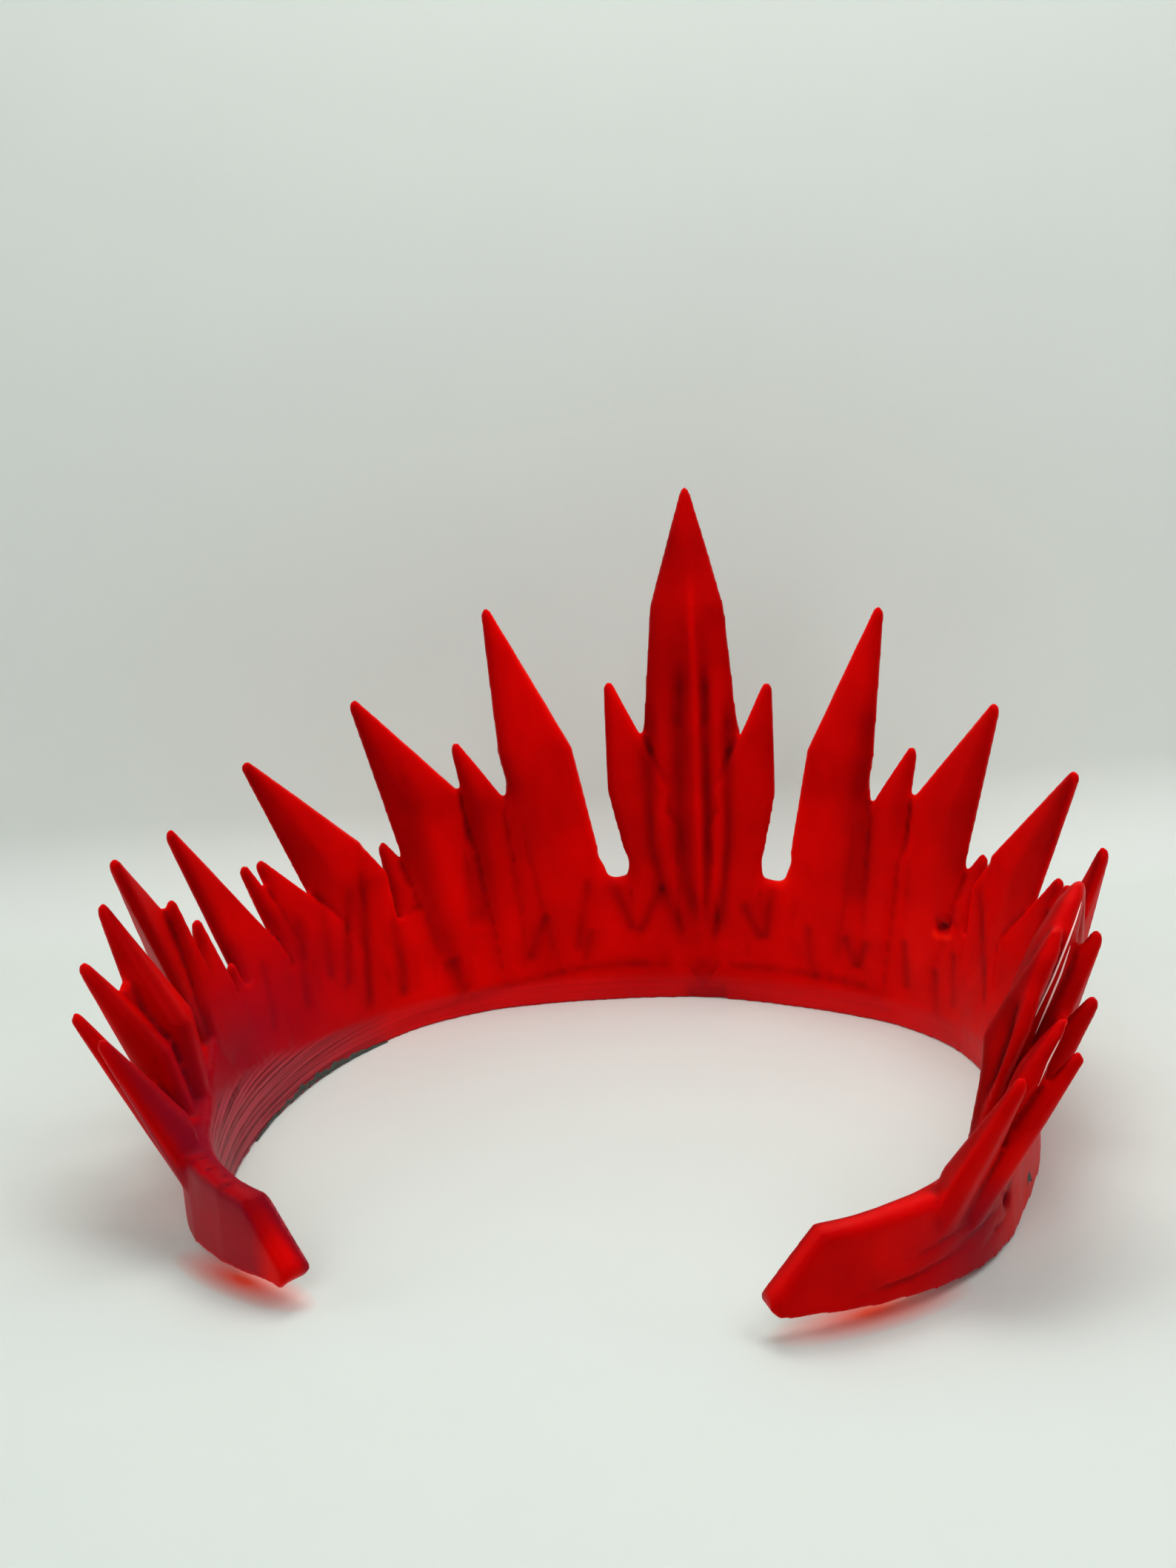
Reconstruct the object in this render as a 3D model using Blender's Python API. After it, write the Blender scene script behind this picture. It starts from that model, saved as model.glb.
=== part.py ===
"""A tiara cast in one piece of clear red resin: a C-shaped band with two tabs, and a wall of ice-like spikes.

Metres, +Z up.  X runs across the wearer's head and +Y points to the front.  The origin is on the surface that
the band stands on, under the middle of the tiara's outer size.
"""
import math

import bmesh
import bpy
from mathutils import Vector

MM = 0.001

# Driving dimensions, in millimetres and degrees.
# Angles run round the middle of the band, from the front, the same way to the left and to the right.
BAND_MIDDLE_Y = -6.25    # the middle of the band's circle, from the origin
TIP_BALL = 1.15          # radius of the blunt bead at the end of every spike
FOOT_DEEP = 0.55         # thickness of a spike's foot, as a share of its thickness at the shoulder
STATION_STEP = 3.0       # degrees between two sections of the band
SHARP_ANGLE = 25.0       # the band is shaded smooth where its faces meet at less than this
SHOULDER_UP = 2.0        # the outer face is upright to this far above the band's height
TOP_BEVEL = 1.2          # and at most to this far below the top of the wall
BEAD_SIDES = 6
BEAD_COLUMNS = ("level", "reach")    # rings of a bead: height from its middle in mm, and a share of its radius
BEAD_ROWS = ((-1.5, 1.0), (-0.7, 0.86), (0.0, 0.45))

# Half of a spike's cross-section, from its flat inner face to its narrow outer one: each corner's place across,
# as a share of half the spike's width, and its depth, as a share of the spike's thickness.
SECTION_COLUMNS = ("across", "depth")
SECTION_ROWS = ((0.72, 0.0), (0.94, 0.10), (1.0, 0.32), (0.30, 1.0))

# The band: one row for each station round half of it.
# deg: place; inner: radius of the inner face; band: height of its upright part; wall: height of the solid wall;
# run: how far the wall leans out at its top; thick and thin: thickness at the foot and at the top; low: underside.
BAND_COLUMNS = ("deg", "inner", "band", "wall", "run", "thick", "thin", "low")
BAND_ROWS = (
    (0.0, 66.0, 5.6, 24.0, 1.6, 5.0, 3.4, 0.0),
    (14.0, 65.9, 5.8, 25.2, 1.3, 5.0, 3.2, 0.0),
    (22.0, 66.6, 5.5, 25.5, 1.3, 5.0, 3.4, 0.0),
    (30.0, 67.8, 5.2, 27.0, 1.4, 5.0, 3.4, 0.0),
    (35.0, 68.8, 5.2, 33.5, 2.0, 5.0, 3.2, 0.0),
    (40.0, 69.3, 5.3, 27.0, 2.0, 5.0, 3.4, 0.0),
    (49.0, 69.7, 5.8, 22.5, 2.2, 5.2, 3.4, 0.0),
    (60.0, 68.6, 7.0, 23.5, 3.0, 5.4, 3.4, 0.0),
    (72.0, 67.3, 8.0, 22.5, 3.8, 5.4, 3.4, 0.0),
    (84.0, 66.6, 8.6, 24.5, 4.6, 5.4, 3.6, 0.0),
    (96.0, 67.1, 9.6, 24.0, 4.4, 5.2, 3.6, 0.0),
    (104.0, 67.9, 11.2, 21.5, 2.6, 5.3, 3.8, 0.0),
    (112.0, 69.1, 13.0, 18.8, 1.4, 6.2, 4.2, 0.4),
    (118.0, 70.5, 14.2, 17.6, 1.0, 6.3, 4.0, 1.0),
    (124.0, 71.9, 15.4, 17.3, 1.0, 5.8, 3.6, 1.8),
    (130.0, 72.6, 15.8, 17.4, 1.0, 5.5, 3.4, 2.6),
    (137.0, 72.6, 15.8, 17.4, 1.0, 5.1, 3.3, 3.4),
    (143.2, 71.6, 15.6, 17.2, 1.0, 5.2, 3.3, 4.0),
    (148.8, 70.9, 7.6, 9.0, 0.9, 5.4, 3.3, 4.6),
    (149.8, 71.0, 6.6, 7.6, 0.9, 4.8, 3.0, 6.0),
)

# The spikes of the right half; all but those at the front are made again for the left half.
# Each is a tapered rod from foot by shoulder to tip.  deg: place round the band; high: height;
# out: distance of its inner face, or of its tip's middle, outside the foot of the band's inner face;
# wide and deep: its size along the band and across it.
SPIKE_COLUMNS = ("name", "foot_deg", "foot_high", "foot_out", "foot_wide", "mid_deg", "mid_high", "mid_out",
                 "wide", "deep", "tip_deg", "tip_high", "tip_out")
FRONT_SPIKES = (
    ("centre_blade", 0.0, 52.0, 2.4, 19.6, 0.0, 79.0, 4.6, 14.8, 6.0, 0.0, 101.5, 10.0),
    ("centre_stem", 0.0, 5.0, 0.2, 3.0, 0.0, 54.5, 2.5, 19.8, 6.5, 0.0, 84.0, 7.0),
    ("centre_ridge", 0.0, 5.5, 3.6, 2.6, 0.0, 60.0, 6.0, 7.5, 6.0, 0.0, 94.0, 10.4),
)
SIDE_SPIKES = (
    ("spike_1", 8.6, 30.0, 0.9, 8.0, 9.0, 43.3, 1.3, 12.4, 5.0, 12.8, 64.8, 4.6),
    ("apron_1", 7.4, 6.5, 0.2, 9.0, 7.3, 35.5, 1.1, 11.2, 4.6, 8.0, 48.0, 3.4),
    ("flute_1", 4.0, 6.0, 3.0, 2.4, 5.6, 50.0, 6.6, 3.0, 4.0, 3.6, 78.0, 8.4),
    ("spike_2", 18.2, 6.0, 0.2, 14.0, 25.2, 52.0, 2.0, 14.8, 6.5, 30.5, 80.6, 7.2),
    ("apron_2", 24.0, 6.0, 0.4, 12.0, 25.6, 40.0, 1.7, 13.0, 5.0, 28.2, 60.0, 5.6),
    ("splinter_2", 29.5, 6.0, 0.2, 9.0, 33.2, 43.0, 1.6, 6.4, 4.2, 37.3, 55.3, 4.4),
    ("shard_3", 34.4, 10.0, 0.6, 4.0, 35.8, 33.0, 2.0, 4.6, 3.8, 38.4, 41.0, 4.6),
    ("spike_3", 38.6, 6.0, 0.2, 11.0, 42.6, 45.5, 2.6, 13.4, 6.3, 51.5, 66.7, 8.2),
    ("splinter_3", 45.4, 6.0, 0.8, 8.0, 46.8, 28.0, 3.0, 6.8, 4.0, 49.6, 37.5, 6.8),
    ("shard_4", 52.0, 8.0, 0.6, 7.5, 53.4, 32.5, 3.0, 7.0, 4.2, 54.8, 40.2, 6.6),
    ("spike_4", 52.8, 6.0, 0.2, 12.0, 58.5, 39.5, 4.8, 11.6, 6.3, 69.0, 60.2, 14.0),
    ("splinter_4", 56.5, 8.0, 2.6, 5.0, 58.8, 25.0, 5.2, 4.6, 3.8, 61.4, 34.2, 9.0),
    ("twin_4", 62.5, 6.0, 0.2, 10.0, 65.0, 26.0, 3.4, 13.8, 5.2, 71.3, 42.2, 10.5),
    ("twin_5", 68.6, 8.0, 1.0, 5.0, 70.5, 26.0, 4.4, 4.8, 4.2, 74.2, 42.4, 11.4),
    ("spike_5", 76.0, 6.0, 0.2, 12.0, 78.0, 24.5, 4.4, 16.4, 6.6, 85.7, 54.5, 16.0),
    ("shard_5", 85.5, 10.0, 0.8, 4.5, 86.0, 22.0, 4.0, 4.0, 3.8, 86.2, 29.6, 6.6),
    ("splinter_5", 90.0, 6.0, 0.2, 10.0, 92.0, 27.0, 4.2, 10.0, 5.0, 92.8, 41.2, 8.0),
    ("splinter_6", 95.0, 6.0, 0.2, 9.0, 97.0, 29.0, 4.4, 9.0, 5.0, 98.2, 47.6, 9.3),
    ("spike_6", 94.0, 6.0, 1.2, 11.0, 99.2, 38.0, 7.8, 14.0, 5.6, 104.9, 58.8, 15.1),
    ("spike_7", 111.0, 7.0, 0.2, 8.0, 109.7, 32.0, 3.8, 8.6, 9.0, 105.3, 51.1, 17.9),
    ("shard_7", 112.0, 12.0, 2.6, 5.0, 111.0, 28.0, 9.0, 5.0, 4.2, 109.5, 39.0, 14.3),
    ("spike_8", 116.0, 6.0, 0.4, 8.5, 112.7, 29.0, 7.0, 8.6, 7.0, 111.3, 44.2, 19.9),
    ("spike_9", 123.0, 5.0, 1.4, 8.0, 118.6, 21.0, 7.0, 7.6, 5.0, 116.5, 38.6, 20.5),
    ("spike_10", 128.5, 5.5, 0.4, 9.0, 122.6, 20.0, 3.2, 9.4, 5.6, 122.9, 37.3, 15.7),
)

RESIN_RED = (0.58, 0.003, 0.003, 1.0)
RESIN_ROUGHNESS = 0.25


def rows(columns, table):
    """Return the table as a list of dictionaries, one for each row, in the order of the columns."""
    return [dict(zip(columns, row)) for row in table]


STATIONS = rows(BAND_COLUMNS, BAND_ROWS)


def along(deg, column):
    """Return a value of the band's table at an angle, on a smooth curve through the rows."""
    deg = abs(deg)
    places = [station["deg"] for station in STATIONS]
    values = [station[column] for station in STATIONS]
    last = len(places) - 1
    k = max(i for i in range(last) if places[i] <= deg or i == 0)
    t = min(1.0, (deg - places[k]) / (places[k + 1] - places[k]))

    def slope(i):
        """Return the curve's slope at a row: flat at the front and at every high or low point."""
        if i == 0:
            return 0.0
        if i == last:
            return (values[i] - values[i - 1]) / (places[i] - places[i - 1])
        before = (values[i] - values[i - 1]) / (places[i] - places[i - 1])
        after = (values[i + 1] - values[i]) / (places[i + 1] - places[i])
        return 0.0 if before * after <= 0.0 else 2.0 * before * after / (before + after)

    span = places[k + 1] - places[k]
    a, b = values[k], values[k + 1]
    return ((1 + 2 * t) * (1 - t) ** 2 * a + t * (1 - t) ** 2 * span * slope(k)
            + t * t * (3 - 2 * t) * b + t * t * (t - 1) * span * slope(k + 1))


def place(deg, out, high):
    """Return the point at an angle round the band, a distance outside the foot of its inner face, and a height."""
    radius = along(deg, "inner") + out
    turn = math.radians(deg)
    return Vector((radius * math.sin(turn), radius * math.cos(turn) + BAND_MIDDLE_Y, high)) * MM


def new_object(name, mesh, collection):
    """Put a mesh into the scene as an object of the collection."""
    obj = bpy.data.objects.new(name, mesh)
    collection.objects.link(obj)
    return obj


def make_band(name, collection):
    """Loft the band and the solid wall above it through sections round the C."""
    angles = [row["deg"] for row in STATIONS]
    end = angles[-1]
    steps = int(angles[-3] // STATION_STEP)
    half = [STATION_STEP * k for k in range(steps + 1)] + angles[-3:]
    places = [-deg for deg in reversed(half[1:])] + half
    bm = bmesh.new()
    sections = []
    for deg in places:
        low, band, wall = along(deg, "low"), along(deg, "band"), along(deg, "wall")
        run, thick, thin = along(deg, "run"), along(deg, "thick"), along(deg, "thin")
        shoulder = min(band + SHOULDER_UP, wall - TOP_BEVEL)
        outline = ((0.0, low), (0.0, band), (run, wall), (run + thin, wall), (thick, shoulder), (thick, low))
        sections.append([bm.verts.new(place(deg, out, high)) for out, high in outline])
    for before, after in zip(sections, sections[1:]):
        for i in range(len(before)):
            j = (i + 1) % len(before)
            bm.faces.new((before[i], before[j], after[j], after[i]))
    bm.faces.new(sections[0][::-1])
    bm.faces.new(sections[-1])
    bmesh.ops.recalc_face_normals(bm, faces=bm.faces)
    mesh = bpy.data.meshes.new(name)
    bm.to_mesh(mesh)
    bm.free()
    mesh.shade_smooth()
    mesh.set_sharp_from_angle(angle=math.radians(SHARP_ANGLE))
    return new_object(name, mesh, collection)


def section(deg, out, high, wide, deep):
    """Return the corners of a spike's cross-section, square to the radius through its middle."""
    turn = math.radians(deg)
    outward = Vector((math.sin(turn), math.cos(turn), 0.0))
    sideways = Vector((math.cos(turn), -math.sin(turn), 0.0))
    inner = place(deg, out, high)
    corners = []
    for row in rows(SECTION_COLUMNS, SECTION_ROWS):
        for side in (-1, 1):
            across = side * row["across"] * wide / 2
            corners.append(inner + (sideways * across + outward * row["depth"] * deep) * MM)
    return corners


def make_spike(row, side, collection):
    """Make one spike as the convex hull of its foot, its shoulder and the bead at its tip."""
    bm = bmesh.new()
    foot = section(side * row["foot_deg"], row["foot_out"], row["foot_high"], row["foot_wide"],
                   FOOT_DEEP * row["deep"])
    mid = section(side * row["mid_deg"], row["mid_out"], row["mid_high"], row["wide"], row["deep"])
    for point in foot + mid:
        bm.verts.new(point)
    tip = place(side * row["tip_deg"], row["tip_out"], row["tip_high"])
    for ring in rows(BEAD_COLUMNS, BEAD_ROWS):
        reach = TIP_BALL * ring["reach"]
        for k in range(BEAD_SIDES):
            turn = math.tau * (k + 0.5) / BEAD_SIDES
            bm.verts.new(tip + Vector((reach * math.cos(turn), reach * math.sin(turn), ring["level"])) * MM)
    bmesh.ops.convex_hull(bm, input=bm.verts)
    bmesh.ops.delete(bm, geom=[v for v in bm.verts if not v.link_faces], context="VERTS")
    bmesh.ops.recalc_face_normals(bm, faces=bm.faces)
    label = row["name"] if side == 0 else row["name"] + ("_right" if side > 0 else "_left")
    mesh = bpy.data.meshes.new(label)
    bm.to_mesh(mesh)
    bm.free()
    spike = new_object(label, mesh, collection)
    spike.hide_render = True
    spike.display_type = "WIRE"
    return spike


def resin():
    """Return the material of clear red resin."""
    material = bpy.data.materials.new("clear_red_resin")
    material.use_nodes = True
    shader = material.node_tree.nodes["Principled BSDF"]
    shader.inputs["Base Color"].default_value = RESIN_RED
    shader.inputs["Roughness"].default_value = RESIN_ROUGHNESS
    shader.inputs["Metallic"].default_value = 0.0
    return material


def main():
    """Make the band and the spikes, and join them into one solid."""
    for obj in list(bpy.data.objects):
        bpy.data.objects.remove(obj)
    scene = bpy.context.scene
    tiara = bpy.data.collections.new("tiara")
    cutters = bpy.data.collections.new("spike_solids")
    scene.collection.children.link(tiara)
    scene.collection.children.link(cutters)

    crown = make_band("crown", tiara)
    crown.data.materials.append(resin())
    for row in rows(SPIKE_COLUMNS, FRONT_SPIKES):
        make_spike(row, 0, cutters)
    for row in rows(SPIKE_COLUMNS, SIDE_SPIKES):
        for side in (1, -1):
            make_spike(row, side, cutters)
    join = crown.modifiers.new("spikes", "BOOLEAN")
    join.operation = "UNION"
    join.operand_type = "COLLECTION"
    join.collection = cutters
    join.solver = "EXACT"


main()
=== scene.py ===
"""Looks of a tiara cast in one piece of clear red resin, on a pale floor.

Run as a script: the frame is loaded and each operator makes its piece.
"""
import math

import bmesh
import bpy
import numpy as np
from bpy.props import FloatProperty, FloatVectorProperty, IntProperty, PointerProperty
from mathutils import Matrix, Vector


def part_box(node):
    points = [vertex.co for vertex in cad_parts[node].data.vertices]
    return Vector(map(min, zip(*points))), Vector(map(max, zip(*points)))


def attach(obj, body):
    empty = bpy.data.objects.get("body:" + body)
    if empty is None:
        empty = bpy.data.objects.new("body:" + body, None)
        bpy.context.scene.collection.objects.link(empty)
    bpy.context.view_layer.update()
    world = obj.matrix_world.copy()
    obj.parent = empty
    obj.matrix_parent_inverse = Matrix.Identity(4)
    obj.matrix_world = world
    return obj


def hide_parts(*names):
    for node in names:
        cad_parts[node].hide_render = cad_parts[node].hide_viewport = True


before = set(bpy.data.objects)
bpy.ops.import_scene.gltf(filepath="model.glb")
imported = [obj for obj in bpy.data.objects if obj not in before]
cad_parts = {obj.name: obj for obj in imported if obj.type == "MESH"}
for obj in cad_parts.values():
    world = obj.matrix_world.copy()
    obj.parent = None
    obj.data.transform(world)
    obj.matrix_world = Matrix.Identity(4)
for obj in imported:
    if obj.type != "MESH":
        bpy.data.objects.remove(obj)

bl_info = {
    "name": "Cast resin tiara",
    "version": (1, 0, 0),
    "blender": (4, 5, 0),
    "location": "3D View > Sidebar > Tiara",
    "description": "Makes a one-piece cast tiara, its resin and its stage",
    "category": "Add Mesh",
}

MM = 0.001
RESIN_NAME = "dyed_polyester_casting_resin"
WELD = 0.01 * MM                    # corners of the solid that are closer than this are one

# Round the band, in mm
BAND_MIDDLE = (0.0, -6.25)          # middle of its circle in the row frame
BAND_RADIUS = 70.0                  # of its inner face
WALL_RADIUS = 71.0                  # of the inner face of the wall above it
MM_PER_DEGREE = math.radians(1.0) * WALL_RADIUS

# Camera, worked out from the mirrored pairs of points on the two halves of the tiara
IMAGE_SIZE = (1588, 2117)           # the photograph, in pixels
FOCAL_PIXELS = 3400.0
SENSOR = 36.0
CAMERA_PLACE = (104.59, -396.14, 193.54)    # mm in the row frame
CAMERA_PITCH = 17.512               # degrees down
VANISHING_X = (-12250.0, 886.0)     # where lines along the row's X meet, in pixels


def linear(text, alpha=1.0):
    """Turn an sRGB hex colour into linear red, green, blue and alpha."""
    parts = [int(text[i:i + 2], 16) / 255.0 for i in (0, 2, 4)]
    return tuple(c / 12.92 if c <= 0.04045 else ((c + 0.055) / 1.055) ** 2.4 for c in parts) + (alpha,)


def node(tree, kind, inputs=None, **settings):
    """Add a node of a kind, set its properties, and set or link each named or numbered input."""
    made = tree.nodes.new(kind)
    for name, value in settings.items():
        setattr(made, name, value)
    for key, value in (inputs or {}).items():
        if isinstance(value, bpy.types.NodeSocket):
            tree.links.new(value, made.inputs[key])
        else:
            made.inputs[key].default_value = value
    return made


def new_material(name):
    """Return an empty node material and its tree."""
    material = bpy.data.materials.new(name)
    material.use_nodes = True
    material.node_tree.nodes.clear()
    return material, material.node_tree


# Waves of the patterns, for each mm
STREAK_WAVES = 0.08         # dye that did not mix in, in streaks of some 12 mm
GRAIN_WAVES = 0.9           # skin of the rubber mould, 1.1 mm with finer grain in it
LINE_WAVES = (0.02, 1.9)    # brushed lines, some 50 mm long and 0.5 mm apart
CLOT_WAVES = 1.1            # the dark film's mottle, in clots of 0.9 mm
MOTTLE_WAVES = 0.035        # emulsion, in clouds of some 29 mm

# The resin's skin
STREAK_TONE = 0.04          # how much a streak changes the glow, either way
STREAK_GLOSS = (-0.05, 0.06)    # how much it changes the roughness
RUBBED_ROUGHNESS = 0.08     # what brushing adds to the roughness
PAINTED_SHEEN_SHARE = 0.42         # how far the painted sheen on the brushed band turns the colour pale pink
LINE_DARKER = 0.90          # how far a brushed line turns the colour dark
LINE_TO_GRAIN = 30.0        # depth of a brushed line over that of the grain
SKIN_IOR = 1.16             # bare polyester has 1.55; a skin this matt reflects far less at the edges
SPREAD = 1.6 * MM           # how far red light spreads under the skin
SPREAD_SHARES = (1.0, 0.12, 0.05)   # of red, green and blue light
SHEEN = (1.0, 0.10, 0.14, 1.0)      # linear colour of what the skin reflects
GRAIN_BUMP, GRAIN_DEPTH = 0.06, 0.4 * MM
PAINTED_SHEEN_COLOUR, LINE_COLOUR = "CC5A66", "4C0410"     # painted pale sheen between the brushed lines, and the dark colour of the lines themselves

# Painted light and shade of the resin: its colour goes from the most shaded place (0) over its plain red (0.5) to a
# rim painted as glowing with light that passes through (1)
PAINTED_LIGHT_ROWS = ((0.0, "5E0103"), (0.25, "A20102"), (0.5, "D90302"), (0.75, "F81806"), (1.0, "FF5C26"))


def cast_resin(props):
    """Clear polyester casting resin, dyed red in the mass, released from a rubber mould and left unpolished.

    To the eye it is a satin, cloudy solid: tips and rims glow orange-red and thick places are a deep red.  It is
    drawn as light that spreads under the skin, so nothing shows through it; the glow of tips and rims and the shade
    of thick places are painted light and shade, written by paint_light_and_shade, and the pale sheen on the brushed
    band is a painted reflection.
    """
    material, tree = new_material(RESIN_NAME)
    place = node(tree, "ShaderNodeTexCoord")
    painted_light_and_shade = node(tree, "ShaderNodeAttribute", attribute_name="painted_light_and_shade")
    streak = node(tree, "ShaderNodeTexNoise", {"Vector": place.outputs["Object"], "Scale": STREAK_WAVES / MM,
        "Detail": 2.0})
    mixed = node(tree, "ShaderNodeMapRange", {"Value": streak.outputs["Fac"], "From Min": 0.35, "From Max": 0.65,
        "To Min": -STREAK_TONE, "To Max": STREAK_TONE})
    shade = node(tree, "ShaderNodeMath", {0: painted_light_and_shade.outputs["Fac"], 1: mixed.outputs["Result"]}, operation="ADD")
    ramp = node(tree, "ShaderNodeValToRGB", {"Fac": shade.outputs[0]})
    stops = ramp.color_ramp.elements
    while len(stops) < len(PAINTED_LIGHT_ROWS):
        stops.new(0.5)
    for stop, (share, colour) in zip(stops, PAINTED_LIGHT_ROWS):
        stop.position, stop.color = share, linear(colour)
    # painted shade: where the resin lies in the shade of its own arms, on the outer side and top of the left tab and
    # under the right arm's last crystals, the colour goes from red to wine
    wine = node(tree, "ShaderNodeAttribute", attribute_name="wine")
    tint = node(tree, "ShaderNodeMix", {"Factor": wine.outputs["Fac"], "A": ramp.outputs["Color"],
        "B": tuple(props.wine) + (1.0,)}, data_type="RGBA")
    # brushed lines along the band, drawn over a map of its own length and height in mm
    along = node(tree, "ShaderNodeUVMap", uv_map="along_band")
    stretch = node(tree, "ShaderNodeMapping", {"Vector": along.outputs["UV"], "Scale": LINE_WAVES + (1.0,)})
    lines = node(tree, "ShaderNodeTexNoise", {"Vector": stretch.outputs["Vector"], "Scale": 1.0, "Detail": 3.0})
    where = node(tree, "ShaderNodeAttribute", attribute_name="brushed")
    brushed = node(tree, "ShaderNodeMath", {0: lines.outputs["Fac"], 1: where.outputs["Fac"]}, operation="MULTIPLY")
    dark_lines = node(tree, "ShaderNodeMapRange", {"Value": lines.outputs["Fac"], "From Min": 0.42,
        "From Max": 0.60, "To Min": 0.0, "To Max": LINE_DARKER})
    share = node(tree, "ShaderNodeMath", {0: dark_lines.outputs["Result"], 1: where.outputs["Fac"]},
        operation="MULTIPLY")
    # painted sheen: between the dark lines the brushed skin is painted a paler pink
    painted_sheen = node(tree, "ShaderNodeMath", {0: where.outputs["Fac"], 1: PAINTED_SHEEN_SHARE}, operation="MULTIPLY")
    sheen_tint = node(tree, "ShaderNodeMix", {"Factor": painted_sheen.outputs[0], "A": tint.outputs[2],
        "B": linear(PAINTED_SHEEN_COLOUR)}, data_type="RGBA")
    lined = node(tree, "ShaderNodeMix", {"Factor": share.outputs[0], "A": sheen_tint.outputs[2],
        "B": linear(LINE_COLOUR)}, data_type="RGBA")
    # the mould's grain is finer on the real one, and is drawn coarser so that it shows
    grain = node(tree, "ShaderNodeTexNoise", {"Vector": place.outputs["Object"], "Scale": GRAIN_WAVES / MM,
        "Detail": 3.0, "Roughness": 0.55})
    height = node(tree, "ShaderNodeMath", {0: brushed.outputs[0], 1: LINE_TO_GRAIN, 2: grain.outputs["Fac"]},
        operation="MULTIPLY_ADD")
    bump = node(tree, "ShaderNodeBump", {"Height": height.outputs[0], "Strength": GRAIN_BUMP,
        "Distance": GRAIN_DEPTH})
    gloss = node(tree, "ShaderNodeMapRange", {"Value": streak.outputs["Fac"], "From Min": 0.3, "From Max": 0.7,
        "To Min": props.roughness + STREAK_GLOSS[0],
        "To Max": props.roughness + STREAK_GLOSS[1]})
    rubbed = node(tree, "ShaderNodeMath", {0: where.outputs["Fac"], 1: RUBBED_ROUGHNESS,
        2: gloss.outputs["Result"]}, operation="MULTIPLY_ADD")
    skin = node(tree, "ShaderNodeBsdfPrincipled", {
        "Base Color": lined.outputs[2],
        "Roughness": rubbed.outputs[0],
        "Subsurface Weight": 1.0,
        "Subsurface Radius": SPREAD_SHARES,
        "Subsurface Scale": SPREAD,
        "IOR": SKIN_IOR,
        "Specular Tint": SHEEN,
        "Normal": bump.outputs["Normal"],
    })
    node(tree, "ShaderNodeOutputMaterial", {"Surface": skin.outputs["BSDF"]})
    return material


def dark_green_film():
    """Dark green film along the lower edge of the band: matt, mottled and nearly black."""
    material, tree = new_material("dark_green_mottled_film")
    place = node(tree, "ShaderNodeTexCoord")
    clots = node(tree, "ShaderNodeTexNoise", {"Vector": place.outputs["Object"], "Scale": CLOT_WAVES / MM,
        "Detail": 4.0})
    tone = node(tree, "ShaderNodeMix", {"Factor": clots.outputs["Fac"], "A": linear("0C1410"),
        "B": linear("4A564C")}, data_type="RGBA")
    skin = node(tree, "ShaderNodeBsdfPrincipled", {"Base Color": tone.outputs[2], "Roughness": 0.75})
    node(tree, "ShaderNodeOutputMaterial", {"Surface": skin.outputs["BSDF"]})
    return material


# Where light that went through the resin colours the floor: middle, half length and half width in metres, and
# degrees that the patch is turned
FLOOR_GLOWS = (((-0.0500, -0.0622), 0.017, 0.0056, -28.0), ((0.0510, -0.0590), 0.018, 0.0065, 38.0))
FLOOR_GLOW_STRENGTH, FLOOR_GLOW_COLOUR = 1.1, "EE4A2C"
MOTTLE_TONE = 0.97      # the darker clouds of the emulsion, as a share of its colour


def painted_board(props):
    """Matt emulsion on a smooth board, bent up behind the object: pale, with next to no gloss.

    Under the two ends of the band it has a red glow, from light that has gone through the resin.
    """
    material, tree = new_material("matt_emulsion_board")
    place = node(tree, "ShaderNodeTexCoord")
    mottle = node(tree, "ShaderNodeTexNoise", {"Vector": place.outputs["Object"], "Scale": MOTTLE_WAVES / MM,
        "Detail": 5.0})
    darker = tuple(MOTTLE_TONE * c for c in props.floor)
    tint = node(tree, "ShaderNodeMix", {"Factor": mottle.outputs["Fac"], "A": tuple(props.floor) + (1.0,),
        "B": darker + (1.0,)}, data_type="RGBA")
    for (x, y), half_long, half_wide, turn in FLOOR_GLOWS:
        patch = node(tree, "ShaderNodeMapping", {
            "Vector": place.outputs["Object"], "Location": (x, y, 0.0), "Rotation": (0.0, 0.0, math.radians(turn)),
            "Scale": (half_long, half_wide, 0.02)}, vector_type="TEXTURE")
        fade = node(tree, "ShaderNodeTexGradient", {"Vector": patch.outputs["Vector"]}, gradient_type="SPHERICAL")
        strong = node(tree, "ShaderNodeMath", {0: fade.outputs["Fac"], 1: FLOOR_GLOW_STRENGTH},
        operation="MULTIPLY", use_clamp=True)
        tint = node(tree, "ShaderNodeMix", {"Factor": strong.outputs[0], "A": tint.outputs[2],
        "B": linear(FLOOR_GLOW_COLOUR)}, data_type="RGBA")
    skin = node(tree, "ShaderNodeBsdfPrincipled", {"Base Color": tint.outputs[2], "Roughness": 0.8})
    node(tree, "ShaderNodeOutputMaterial", {"Surface": skin.outputs["BSDF"]})
    return material


def put_in_scene(mesh, name, material):
    """Link a new object that carries the mesh, with this material alone."""
    obj = bpy.data.objects.new(name, mesh)
    bpy.context.scene.collection.objects.link(obj)
    mesh.materials.clear()
    mesh.materials.append(material)
    return obj


def grid_mesh(name, points, closed_u=False):
    """Make a mesh from an array of points with two parameters, with a face between each four neighbours."""
    rows, columns = points.shape[:2]
    index = np.arange(rows * columns).reshape(rows, columns)
    if closed_u:
        index = np.vstack([index, index[:1]])
    quads = np.stack([index[:-1, :-1], index[:-1, 1:], index[1:, 1:], index[1:, :-1]], axis=-1).reshape(-1, 4)
    mesh = bpy.data.meshes.new(name)
    mesh.from_pydata(points.reshape(-1, 3).tolist(), [], quads.tolist())
    mesh.update()
    return mesh


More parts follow.
